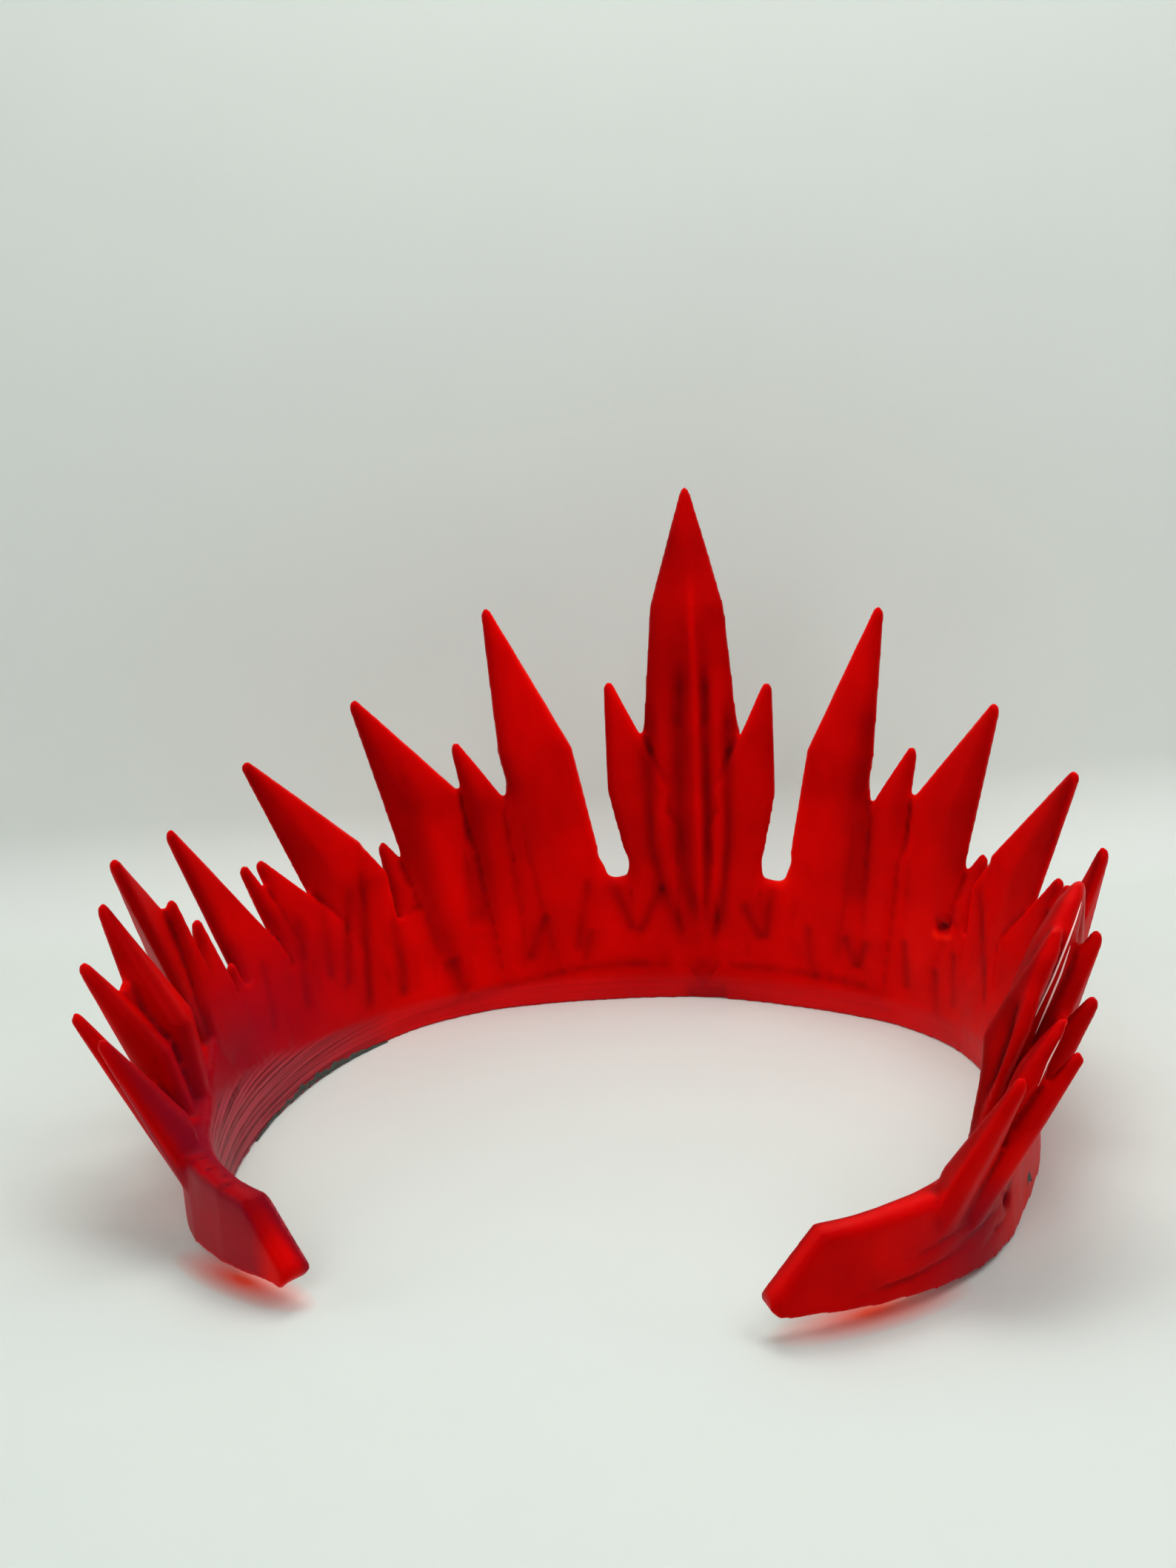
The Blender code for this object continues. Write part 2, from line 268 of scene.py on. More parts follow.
def round_band(points):
    """Return each point's angle from the front in degrees, its distance from the band's middle and its height, mm."""
    x = points[:, 0] / MM - BAND_MIDDLE[0]
    y = points[:, 1] / MM - BAND_MIDDLE[1]
    return np.degrees(np.arctan2(x, y)), np.hypot(x, y), points[:, 2] / MM


def level_axes(deg):
    """Return two level directions at these degrees round the band: away from its middle, and along it to the right."""
    turn = np.radians(deg)
    flat = np.zeros_like(turn)
    return (np.stack([np.sin(turn), np.cos(turn), flat], axis=-1),
            np.stack([np.cos(turn), -np.sin(turn), flat], axis=-1))


def at_band(deg, radius, high):
    """Return places in mm: the band's middle + radius * (sin(deg), cos(deg)), and the height."""
    out, _ = level_axes(deg)
    place = out * np.asarray(radius)[..., None] + (BAND_MIDDLE + (0.0,))
    place[..., 2] += high
    return place


def wall_distance(deg, high, to_deg, to_high):
    """Return the distance over the wall in mm, by Pythagoras from the way along the band and the way up."""
    return np.hypot((deg - to_deg) * MM_PER_DEGREE, high - to_high)


def bell(away, size):
    """Return exp(-(away / size) squared)."""
    return np.exp(-(away / size) ** 2)


def soft_step(values, start, end):
    """Return 0 at the start, 1 at the end and a straight line between: (value - start) / (end - start), clipped."""
    return np.clip((values - start) / (end - start), 0.0, 1.0)


def vertex_array(mesh, what):
    """Return the vertices' places ("co") or normals ("normal") as rows of three."""
    values = np.empty(len(mesh.vertices) * 3)
    mesh.vertices.foreach_get(what, values)
    return values.reshape(-1, 3)


def edge_array(mesh):
    """Return the numbers of the two vertices of each edge."""
    ends = np.empty(len(mesh.edges) * 2, dtype=np.int64)
    mesh.edges.foreach_get("vertices", ends)
    return ends.reshape(-1, 2)


# Crystals of the right arm that stand in front of the others: name, and stations from the tip to the foot, each with
# degrees from the front, radius and height of the inner and of the outer edge, and width along the band, in mm
RIGHT_CRYSTALS = (
    ("plate with the long edge", (
        (105.5, 82.6, 58.8, 83.8, 58.6, 1.8),
        (106.7, 80.6, 56.4, 84.6, 57.2, 5.0),
        (108.7, 78.7, 52.1, 84.4, 52.8, 9.5),
        (109.5, 76.4, 45.6, 83.2, 46.6, 14.5),
        (109.6, 74.4, 37.7, 80.5, 39.3, 17.5),
        (110.3, 73.2, 29.7, 76.8, 31.2, 18.0),
        (110.5, 71.7, 22.0, 74.7, 23.3, 17.0),
        (110.5, 70.0, 12.0, 73.5, 12.0, 17.0),
    )),
    ("thin plate", (
        (109.8, 84.1, 53.7, 85.2, 53.6, 1.4),
        (110.8, 82.4, 49.5, 84.5, 49.5, 2.4),
        (111.8, 80.1, 43.5, 82.7, 43.5, 3.0),
        (112.4, 77.7, 37.0, 80.3, 37.0, 3.2),
        (112.8, 74.5, 29.3, 77.1, 29.6, 3.2),
    )),
    ("second plate", (
        (111.5, 82.7, 54.4, 84.3, 54.2, 1.8),
        (113.0, 80.7, 50.4, 84.6, 50.8, 3.2),
        (114.5, 77.3, 44.2, 82.9, 44.7, 4.4),
        (115.4, 74.0, 37.7, 80.1, 38.1, 5.0),
        (116.0, 73.9, 30.8, 77.5, 30.9, 5.2),
        (116.4, 72.5, 22.9, 75.3, 24.1, 5.0),
        (116.4, 70.0, 12.0, 73.5, 12.0, 5.0),
    )),
    ("splinter", (
        (114.5, 81.5, 47.6, 83.0, 47.4, 1.6),
        (115.6, 80.9, 45.0, 83.5, 45.0, 2.6),
        (116.8, 80.3, 40.6, 82.7, 40.1, 3.2),
        (117.4, 79.4, 36.5, 81.2, 36.1, 3.2),
        (117.8, 77.5, 31.2, 79.2, 31.3, 2.8),
        (117.4, 73.0, 20.0, 75.0, 20.0, 2.8),
    )),
    ("low plate", (
        (115.5, 86.9, 42.8, 88.2, 42.7, 1.8),
        (116.8, 84.6, 39.8, 88.2, 40.5, 3.0),
        (118.0, 82.5, 36.3, 87.1, 37.1, 4.0),
        (118.8, 81.6, 33.4, 86.3, 33.7, 4.4),
        (119.2, 80.6, 30.2, 85.0, 31.6, 4.4),
        (119.4, 77.0, 22.0, 80.0, 22.0, 4.0),
        (119.4, 70.5, 11.0, 74.0, 11.0, 4.0),
    )),
)
CRYSTAL_SIDES = 16      # points round a crystal's section
BOXINESS = 0.7          # 1 makes the section an ellipse and 0 a box

# Small faults of the casting: angle round the band, radius and height of the middle, size and depth, all in mm.
# A positive depth is a hollow and a negative one a lump.
FAULT_COLUMNS = ("deg", "radius", "high", "size", "depth")
FAULT_ROWS = (
    (113.3, 75.6, 8.2, 1.3, 1.3),
    (115.0, 76.0, 11.0, 0.9, 0.5),
    (116.8, 76.4, 6.0, 1.0, 0.4),
    (45.2, 71.4, 22.9, 0.8, 0.5),
    (46.2, 71.2, 21.9, 0.7, -0.5),
    (44.3, 71.5, 22.2, 0.7, 0.4),
    (45.6, 71.5, 24.2, 0.6, -0.4),
    (-148.0, 75.4, 4.6, 0.7, -0.7),
    (-138.3, 75.6, 17.4, 0.7, 0.45),
    (-136.0, 75.0, 17.4, 0.6, 0.35),
    (-133.0, 76.0, 17.4, 0.8, 0.4),
    (-129.5, 75.5, 17.4, 0.6, 0.35),
)

# Painted light and shade of the resin, on a scale from 0 for dark to 1 for a rim painted as glowing: see
# paint_light_and_shade
PLAIN_TONE = 0.48
RIM_TONE, RIM_LEAST, RIM_LEAN = 0.42, 0.15, 2.2     # on rims; the share of it everywhere, and with full lean
AWAY_TONE, AWAY_RIGHT = 0.20, 0.35      # taken from faces that lean away from the centre; its share on the right
VALLEY_TONE, RIDGE_TONE, MOST_EDGE_TONE = 2.2, 0.6, 0.35    # taken away for each mm, and at most
UPWARD_TONE, UPWARD_TAB_TONE = 0.10, 0.30       # given to upward faces, and taken from those of the left tab
SPIKE_TONE, CENTRE_TONE = 0.05, 0.08            # taken from the spikes, and from all about the centre
RIGHT_ARM_TONE, RIGHT_TAB_TONE, INNER_ARM_TONE = 0.08, 0.02, 0.10
LINE_SPREAD = 1.4       # width of a line's tone over the width of its flute
# Painted shade: how far the colour goes to wine, from 0 to 1
WALL_WINE, TAB_WINE, TAB_TOP_WINE, ROOT_WINE = 0.80, 0.78, 0.50, 0.75
LEAST_BRUSHED = 0.15    # share of the brushed lines that is left on the right arm
# Where these begin and where they are whole, in degrees from the front or in mm of height: see soft_step
REACH = {
    "rims": (3.0, 13.0),
    "edges": (3.0, 6.0),
    "spikes": (25.0, 45.0),
    "lean away, right": (75.0, 55.0),
    "right arm": (85.0, 100.0),
    "right tab": (118.0, 128.0),
    "inner side, both arms": (40.0, 70.0),
    "inner side, right arm": (60.0, 85.0),
    "left tab": (-118.0, -126.0),
    "left tab's end": (-147.0, -144.0),
    "left wall": (-55.0, -90.0),
    "left wall's top": (34.0, 18.0),
    "right root's top": (19.0, 11.0),
    "brushed lines": (-50.0, -80.0),
}
RIGHT_ROOT, RIGHT_ROOT_SIZE, CENTRE_SIZE = 121.0, 8.0, 10.0     # middle and size of soft patches, in degrees

# Painted shade on the outer side, in and about its hollows: degrees, height, size in mm, and tone
OUTER_PAINTED_SHADE = ((113.3, 8.2, 1.6, 0.40), (112.6, 10.6, 1.0, 0.25), (-138.3, 17.0, 1.0, 0.2), (-129.5, 17.0, 1.0, 0.2))

# Creases on the outside of the right tab: start and end in degrees, height at both ends, width and depth in mm.
CREASE_COLUMNS = ("from_deg", "to_deg", "from_high", "to_high", "width", "depth")
CREASE_ROWS = (
    (117.0, 141.0, 7.4, 5.8, 0.6, 0.30),
    (114.0, 128.0, 9.0, 7.6, 0.7, 0.45),
    (112.0, 121.0, 5.8, 4.6, 0.6, 0.40),
    (122.0, 134.0, 10.6, 9.4, 0.6, 0.22),
)
CREASE_WAVE, CREASE_TURN = 0.12, 0.7    # how far a crease wavers, in mm, and its radians for each degree

# Lines painted on the inner face where edges of the outer side would show through: name, depth of tone (painted
# shade; a negative one is a painted highlight line), half width in mm, and points along it as (degrees from the front,
# height in mm)
SHOW_THROUGH_COLUMNS = ("name", "tone", "width", "points")
SHOW_THROUGH_ROWS = (
    ("bubble spot, right", 0.20, 1.3, ((43.9, 22.7), (46.6, 23.2))),
    ("bubble's lit lower edge", -0.30, 0.5, ((43.2, 21.6), (44.4, 20.7), (46.0, 20.8), (47.1, 21.8))),
    ("centre flute, left", 0.15, 1.5, ((-1.1, 70.6), (-1.8, 54.6), (-2.2, 36.6), (-1.5, 24.4), (0.1, 13.3))),
    ("centre ridge", -0.16, 0.6, ((0.8, 87.6), (1.1, 70.6), (1.1, 54.1), (0.9, 36.6), (0.7, 22.9), (0.7, 12.4))),
    ("centre flute, right", 0.18, 1.1, ((2.9, 70.6), (2.7, 54.2), (2.5, 36.6), (1.9, 24.5), (1.0, 13.4))),
    ("centre rib, right", -0.10, 1.4, ((4.7, 73.4), (4.4, 54.6), (4.3, 36.9), (3.4, 24.6), (1.8, 13.4))),
    ("centre outer flute, right", 0.20, 1.0, ((6.3, 63.3), (6.2, 44.5), (5.9, 32.5), (4.4, 20.1), (2.1, 10.7))),
    ("centre rib, left", -0.05, 1.6, ((-4.2, 67.7), (-4.8, 53.0), (-5.4, 36.7), (-4.4, 24.5), (-1.7, 13.3))),
    ("centre outer flute, left", 0.18, 1.2, ((-6.3, 61.8), (-7.0, 47.3), (-7.2, 32.3), (-5.6, 23.0), (-2.4, 12.0))),
    ("first notch, left", 0.15, 1.0, ((-15.3, 28.0), (-13.1, 20.8), (-11.0, 13.5))),
    ("first notch, left return", 0.15, 1.0, ((-5.3, 24.5), (-7.8, 19.2), (-10.4, 13.1))),
    ("second root, left", 0.09, 1.0, ((-18.2, 15.9), (-19.3, 11.3), (-20.0, 8.2))),
    ("first notch, right", 0.14, 1.0, ((13.6, 25.2), (12.7, 19.3), (11.9, 12.8))),
    ("first notch, right return", 0.12, 1.0, ((8.0, 21.2), (9.7, 16.7), (11.5, 12.8))),
    ("second root crease, left", 0.12, 1.0, ((-25.5, 19.7), (-27.3, 14.9), (-29.1, 9.1))),
    ("second root line, left", 0.10, 1.0, ((-18.1, 26.6), (-19.8, 17.6), (-21.1, 9.9))),
    ("third root, left", 0.14, 1.5, ((-42.1, 13.2), (-41.1, 6.8), (-39.5, 4.8))),
    ("foot under the centre", 0.15, 2.0, ((-2.9, 0.3), (0.5, 1.2), (5.1, 0.7))),
    ("bubble cloud over the foot", 0.11, 2.2, ((-1.4, 4.7), (0.7, 6.5), (2.6, 4.8))),
    ("band's top line, left", 0.10, 0.9, ((-56.1, 2.3), (-44.3, 3.0), (-36.4, 4.4), (-28.9, 5.7), (-21.2, 7.1),
        (-12.2, 7.7), (-3.2, 7.1))),
    ("band's top line, right", 0.09, 0.9, ((4.0, 7.3), (14.2, 7.6), (23.7, 7.2), (33.2, 6.5))),
    ("first spike's root, left", 0.11, 2.0, ((-31.4, 46.7), (-36.4, 36.2), (-36.4, 27.2), (-36.9, 16.6))),
    ("third spike's side, left", 0.12, 1.8, ((-47.3, 56.6), (-46.2, 46.2), (-45.1, 35.4), (-43.9, 21.4),
        (-42.0, 11.6), (-41.2, 5.9))),
    ("second root, right", 0.10, 1.0, ((19.9, 18.3), (20.2, 11.0), (21.8, 5.7))),
    ("second notch, right", 0.12, 1.0, ((26.5, 16.9), (27.6, 12.9), (28.6, 9.7))),
    ("second notch, right return", 0.09, 1.0, ((30.8, 16.5), (29.6, 12.9), (28.7, 9.7))),
    ("first spike's side, right", 0.12, 2.2, ((30.9, 65.6), (30.9, 55.8), (30.2, 46.9), (30.4, 39.9),
        (29.3, 29.4), (27.9, 20.2))),
    ("third root, right", 0.10, 1.1, ((37.4, 18.5), (37.7, 13.3), (38.1, 7.5))),
    ("fourth root, right", 0.11, 1.1, ((43.7, 14.8), (44.2, 9.5), (44.7, 4.4))),
    ("fourth root line, right", 0.09, 1.1, ((47.4, 19.4), (48.0, 13.8), (48.8, 7.4))),
    ("fifth root, right", 0.15, 1.0, ((52.9, 35.6), (55.9, 20.8), (58.4, 11.7))),
    ("third root crease, left", 0.14, 1.2, ((-51.1, 25.0), (-50.9, 15.8), (-51.2, 6.9))),
    ("fourth root, left", 0.15, 1.0, ((-55.3, 36.0), (-56.2, 26.8), (-57.2, 16.7), (-58.9, 7.0))),
    ("fourth root crease, left", 0.14, 1.0, ((-57.8, 33.3), (-60.2, 23.8), (-62.3, 12.9))),
    ("fifth root, left", 0.11, 1.1, ((-62.9, 33.4), (-64.5, 25.6), (-65.3, 15.7))),
    ("sixth root, left", 0.11, 1.1, ((-68.6, 31.6), (-70.2, 22.2), (-72.4, 13.0))),
    ("seventh root, left", 0.11, 1.1, ((-79.0, 27.6), (-80.4, 19.7), (-82.7, 13.6))),
)
# Height of the brushed band's upper edge, in mm, at these angles from the front
BAND_TOP = ((0.0, 40.0, 60.0, 79.0, 95.0, 111.0, 150.0), (5.5, 5.6, 6.8, 9.5, 13.0, 17.0, 17.4))
# Floors of the two notches beside the centre: degrees and height in mm
NOTCH_PLACES = ((-14.0, 27.5), (14.0, 27.5))
NOTCH_REACH = 2.4       # all within this distance of them is melted more, fading out over as much again, in mm
# Resin that rounds the corners of those notches: degrees, height, size and thickness, in mm
NOTCH_FILLS = ((-15.9, 27.0, 2.2, 0.9), (-12.2, 26.4, 1.4, 0.5), (12.6, 27.2, 1.6, 0.7), (15.4, 27.2, 1.6, 0.7))
FLUTE_DEPTH = 0.6       # depth in mm of a flute for a tone of one and a width of 1 mm

# Steps of rounding off: those that keep the volume, and how many at the notches, for the blurred normals and for
# the surroundings that edges stand out of
HALF_WAY = 0.5
KEEP_VOLUME = [HALF_WAY, -0.52] * 8
NOTCH_MELT, NORMAL_BLUR, EDGE_BLUR = 50, 26, 5


def named_rows(columns, table):
    """Return each row of a table as a dictionary of its columns."""
    return [dict(zip(columns, row)) for row in table]


def line_strength(along, high, points, width):
    """Return a soft line's strength at each place: exp(-(d / width) squared), d the distance from its path in mm.

    The path is a chain of straight parts, and the distance is to the nearest point of the nearest part.  The
    strength fades in and out over an eighth of the path at its ends.
    """
    corners = np.array(points, dtype=float) * (MM_PER_DEGREE, 1.0)
    runs = np.diff(corners, axis=0)
    lengths = np.hypot(*runs.T)
    best, place, passed = np.full(len(along), 1e9), np.zeros(len(along)), 0.0
    for start, run, length in zip(corners, runs, lengths):
        share = np.clip(((along - start[0]) * run[0] + (high - start[1]) * run[1]) / length ** 2, 0.0, 1.0)
        away = np.hypot(along - start[0] - share * run[0], high - start[1] - share * run[1])
        nearer = away < best
        best = np.where(nearer, away, best)
        place = np.where(nearer, passed + share * length, place)
        passed += length
    fade = np.clip(np.minimum(place, passed - place) * 8.0 / passed, 0.15, 1.0)
    return fade * bell(best, width)


def casting_relief(points, normals, swell):
    """Return how far each point moves along its normal, in mm.

    The swell is a sum of slow sine waves round and up the wall.  Each fault takes away a bell of its depth.
    Each line that shows through is a shallow flute, deeper where it is wide and dark.  Each fill adds a bell on
    the faces between inner and outer side.  Each crease takes away a groove with a bell for its section and a
    half sine along its length, on outward-facing points only.
    """
    deg, _, high = round_band(points)
    move = swell * (np.sin(0.55 * deg + 0.21 * high) * np.sin(0.37 * high - 0.13 * deg)
                    + 0.6 * np.sin(1.3 * deg - 0.11 * high + 1.0))
    for fault in named_rows(FAULT_COLUMNS, FAULT_ROWS):
        middle = at_band(fault["deg"], fault["radius"], fault["high"])
        move -= fault["depth"] * bell(np.linalg.norm(points / MM - middle, axis=1), fault["size"])
    outward = np.sum(normals * level_axes(deg)[0], axis=1)
    inner = np.clip(-outward * 2.0, 0.0, 1.0)
    for line in named_rows(SHOW_THROUGH_COLUMNS, SHOW_THROUGH_ROWS):
        depth = FLUTE_DEPTH * line["tone"] * line["width"]
        move -= inner * depth * line_strength(deg * MM_PER_DEGREE, high, line["points"], line["width"])
    for fill_deg, fill_high, size, thick in NOTCH_FILLS:
        move += thick * (1.0 - np.abs(outward)) * bell(wall_distance(deg, high, fill_deg, fill_high), size)
    for crease in named_rows(CREASE_COLUMNS, CREASE_ROWS):
        share = (deg - crease["from_deg"]) / (crease["to_deg"] - crease["from_deg"])
        level = crease["from_high"] + share * (crease["to_high"] - crease["from_high"])
        level += CREASE_WAVE * np.sin(CREASE_TURN * deg)
        fade = np.sin(np.pi * np.clip(share, 0.0, 1.0))
        move -= (outward > 0.5) * crease["depth"] * fade * bell(high - level, crease["width"])
    return move


def relax(points, edges, steps, where=1.0):
    """Round a surface off: each step moves every point a share of the way to the middle of its neighbours.

    The shares in steps are taken in turn, and a negative one moves the points back out, which keeps the volume.
    where scales the share from point to point.
    """
    count = len(points)
    ends = np.concatenate([edges, edges[:, ::-1]])
    neighbours = np.bincount(ends[:, 0], minlength=count)[:, None]
    for share in steps:
        total = np.stack([np.bincount(ends[:, 0], weights=column[ends[:, 1]], minlength=count)
                          for column in points.T], axis=1)
        points = points + where * share * (total / neighbours - points)
    return points


def baked(obj, name):
    """Replace an object's mesh by the one that its modifiers make."""
    mesh = bpy.data.meshes.new_from_object(obj.evaluated_get(bpy.context.evaluated_depsgraph_get()))
    obj.modifiers.clear()
    obj.data = mesh
    mesh.name = name
    return mesh


def closed(mesh):
    """Close the open ends of a tube with flat faces, and turn all faces outwards."""
    bm = bmesh.new()
    bm.from_mesh(mesh)
    bmesh.ops.holes_fill(bm, edges=[edge for edge in bm.edges if edge.is_boundary])
    bmesh.ops.recalc_face_normals(bm, faces=bm.faces)
    bm.to_mesh(mesh)
    bm.free()
    return mesh


def crystal_mesh(stations):
    """Make one closed crystal: a rounded section that is carried from station to station, from tip to foot.

    At a station the section is middle + cos(a) * half of the way from the inner to the outer edge + sin(a) * half
    the width along the band, with both shares raised to the power BOXINESS, so that it is nearly a rounded box.
    """
    angle = np.linspace(0.0, 2.0 * np.pi, CRYSTAL_SIDES, endpoint=False)
    deg, radius_in, high_in, radius_out, high_out, wide = np.array(stations).T[:, :, None] * np.ones(CRYSTAL_SIDES)
    across, along = (np.sign(wave) * np.abs(wave) ** BOXINESS for wave in (np.cos(angle), np.sin(angle)))
    radius = (radius_in + radius_out) / 2 + across * (radius_out - radius_in) / 2
    high = (high_in + high_out) / 2 + across * (high_out - high_in) / 2
    shift = (along * wide / 2)[..., None] * level_axes(deg)[1]
    points = (at_band(deg, radius, high) + shift) * MM
    return closed(grid_mesh("crystal", points.transpose(1, 0, 2), closed_u=True))


def joined(name, meshes):
    """Put meshes side by side in one new mesh, and delete them."""
    bm = bmesh.new()
    for mesh in meshes:
        bm.from_mesh(mesh)
        bpy.data.meshes.remove(mesh)
    both = bpy.data.meshes.new(name)
    bm.to_mesh(both)
    bm.free()
    return both


def welded_copy(mesh):
    """Return a copy in which faces that touch share their corners."""
    copy = mesh.copy()
    bm = bmesh.new()
    bm.from_mesh(copy)
    bmesh.ops.remove_doubles(bm, verts=bm.verts, dist=WELD)
    bm.to_mesh(copy)
    bm.free()
    return copy


def melted(points, edges, rounds):
    """Round every edge and valley, and the floors of the two notches beside the centre far more."""
    points = relax(points, edges, [HALF_WAY] * rounds + KEEP_VOLUME)
    deg, _, high = round_band(points)
    away = np.min([wall_distance(deg, high, *place) for place in NOTCH_PLACES], axis=0)
    near = soft_step(away, 2.0 * NOTCH_REACH, NOTCH_REACH)
    return relax(points, edges, [HALF_WAY] * NOTCH_MELT, near[:, None])


def keep_in_box(mesh, points):
    """Write the vertices' places, none outside the solid's own box."""
    low, high = (np.array(corner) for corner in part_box("crown"))
    mesh.vertices.foreach_set("co", np.clip(points, low, high).ravel())
    mesh.update()


def make_casting(props):
    """Make the cast piece: the solid's own form and the right arm's crystals, melted into one.

    A point of the melted skin moves along its normal by what casting_relief says.
    """
    solid = welded_copy(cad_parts["crown"].data)
    mesh = joined("cast_tiara", [solid] + [crystal_mesh(stations) for _, stations in RIGHT_CRYSTALS])
    obj = put_in_scene(mesh, "cast_tiara", bpy.data.materials[RESIN_NAME])
    voxels = obj.modifiers.new("voxels", "REMESH")
    voxels.mode = "VOXEL"
    voxels.voxel_size = props.voxel
    voxels.use_smooth_shade = True
    mesh = baked(obj, "cast_tiara")
    mesh.vertices.foreach_set("co", melted(vertex_array(mesh, "co"), edge_array(mesh), props.melt).ravel())
    mesh.update()
    points, normals = vertex_array(mesh, "co"), vertex_array(mesh, "normal")
    relief = casting_relief(points, normals, props.swell / MM) * MM
    keep_in_box(mesh, points + normals * relief[:, None])
    thin_out = obj.modifiers.new("thin_out", "DECIMATE")
    thin_out.ratio = min(1.0, props.most_faces / (2.0 * len(mesh.polygons)))
    mesh = baked(obj, "cast_tiara")
    keep_in_box(mesh, vertex_array(mesh, "co"))
    mesh.shade_smooth()
    mark_band(mesh)
    paint_light_and_shade(mesh)
    return obj


def write_attribute(mesh, name, values):
    """Write one number from 0 to 1 for each vertex."""
    mesh.attributes.new(name, "FLOAT", "POINT").data.foreach_set("value", np.clip(values, 0.0, 1.0))


def paint_light_and_shade(mesh):
    """Write how brightly each point of the resin glows, and how far its colour goes from red to wine.

    The painted light goes from 0 for dark over 0.5 for plain red to 1 for a rim.  The normals are blurred over some
    2.5 mm.  Where they then cancel is a rim or a tip, painted brighter as if it lets light through, the more so if it
    leans to the centre.  Upward faces are painted brighter too.  Faces that lean away from the centre, creases and
    sharp edges, the inner side of the arms, the lines that show through and the outer marks are painted darker.  Wine
    is painted shade on the inner wall of the left arm, the outer side and top of its tab and the outer side of the
    right arm under the last crystals.
    """
    points, normals = vertex_array(mesh, "co"), vertex_array(mesh, "normal")
    edges = edge_array(mesh)
    deg, _, high = round_band(points)
    out, side = level_axes(deg)
    soft = relax(normals, edges, [HALF_WAY] * NORMAL_BLUR)
    outward, upward = np.sum(soft * out, axis=1), np.clip(soft[:, 2], 0.0, 1.0)
    inner, outer = np.clip(-3.0 * outward, 0.0, 1.0), np.clip(3.0 * outward, 0.0, 1.0)
    to_centre = -np.clip(deg / 2.0, -1.0, 1.0) * np.sum(soft * side, axis=1)
    left_tab = soft_step(deg, *REACH["left tab"]) * soft_step(deg, *REACH["left tab's end"])
    right_share = np.minimum(soft_step(deg, *REACH["lean away, right"]), AWAY_RIGHT)

    # painted light on rims and tips, and painted shade on faces that lean away from the centre
    rim = (1.0 - np.linalg.norm(soft, axis=1)) * (RIM_LEAST + RIM_LEAN * np.clip(to_centre, 0.0, 1.0))
    away = np.clip(-to_centre, 0.0, 1.0) * np.where(deg > 0.0, right_share, 1.0)
    painted_light_and_shade = PLAIN_TONE + soft_step(high, *REACH["rims"]) * (RIM_TONE * rim - AWAY_TONE * away)
    # painted shade in valleys and on ridges, from how far each point stands out of the mean of its surroundings,
    # in mm: above 0 on ridges, below 0 in valleys
    stands_out = np.sum((points - relax(points, edges, [HALF_WAY] * EDGE_BLUR)) * normals, axis=1) / MM
    edge_tone = stands_out * np.where(stands_out < 0.0, VALLEY_TONE, -RIDGE_TONE)
    painted_light_and_shade += soft_step(high, *REACH["edges"]) * np.maximum(edge_tone, -MOST_EDGE_TONE)
    # painted light on upward faces, and painted shade on the top of the left tab
    painted_light_and_shade += upward * (UPWARD_TONE - UPWARD_TAB_TONE * left_tab)
    # painted shade on the spikes, about the centre, on the right arm and tab, and on the inner side of the arms
    painted_light_and_shade -= SPIKE_TONE * soft_step(high, *REACH["spikes"]) + CENTRE_TONE * bell(deg, CENTRE_SIZE)
    painted_light_and_shade -= RIGHT_ARM_TONE * soft_step(deg, *REACH["right arm"])
    painted_light_and_shade -= RIGHT_TAB_TONE * soft_step(deg, *REACH["right tab"])
    painted_light_and_shade -= INNER_ARM_TONE * inner * (soft_step(np.abs(deg), *REACH["inner side, both arms"])
                                      + soft_step(deg, *REACH["inner side, right arm"]))
    # painted shade along each line that shows through, and a painted highlight where its tone is negative
    for line in named_rows(SHOW_THROUGH_COLUMNS, SHOW_THROUGH_ROWS):
        strength = line_strength(deg * MM_PER_DEGREE, high, line["points"], LINE_SPREAD * line["width"])
        painted_light_and_shade -= inner * line["tone"] * strength
    # painted shade in and about the hollows of the outer side
    for mark_deg, mark_high, size, tone in OUTER_PAINTED_SHADE:
        painted_light_and_shade -= outer * tone * bell(wall_distance(deg, high, mark_deg, mark_high), size)
    write_attribute(mesh, "painted_light_and_shade", painted_light_and_shade)

    # painted shade: where the colour goes to wine
    left_wall = inner * soft_step(deg, *REACH["left wall"]) * soft_step(high, *REACH["left wall's top"])
    tab_side = np.clip(4.0 * outward - 2.2, 0.0, 1.0) * left_tab
    right_root = outer * bell(deg - RIGHT_ROOT, RIGHT_ROOT_SIZE) * soft_step(high, *REACH["right root's top"])
    wine = np.maximum(WALL_WINE * left_wall, TAB_WINE * tab_side)
    write_attribute(mesh, "wine", wine + TAB_TOP_WINE * upward * left_tab + ROOT_WINE * right_root)


def mark_band(mesh):
    """Write where the band's brushed lines run: a map of length along and height, and how strong they are.

    The map's u is the angle from the front times the band's radius, and its v the height, both in mm.  The
    strength is the product of two soft steps, on the inward-facing points only.
    """
    points, normals = vertex_array(mesh, "co"), vertex_array(mesh, "normal")
    deg, _, high = round_band(points)
    corners = np.empty(len(mesh.loops), dtype=np.int64)
    mesh.loops.foreach_get("vertex_index", corners)
    flat = np.stack([np.radians(deg) * BAND_RADIUS, high], axis=1)
    mesh.uv_layers.new(name="along_band").data.foreach_set("uv", flat[corners].ravel())
    inward = np.clip(-2.0 * np.sum(normals * level_axes(deg)[0], axis=1) - 0.4, 0.0, 1.0)
    below_top = np.clip((np.interp(np.abs(deg), *BAND_TOP) - high) / 1.5, 0.0, 1.0)
    left_part = np.maximum(soft_step(deg, *REACH["brushed lines"]), LEAST_BRUSHED)
    write_attribute(mesh, "brushed", inward * below_top * left_part)


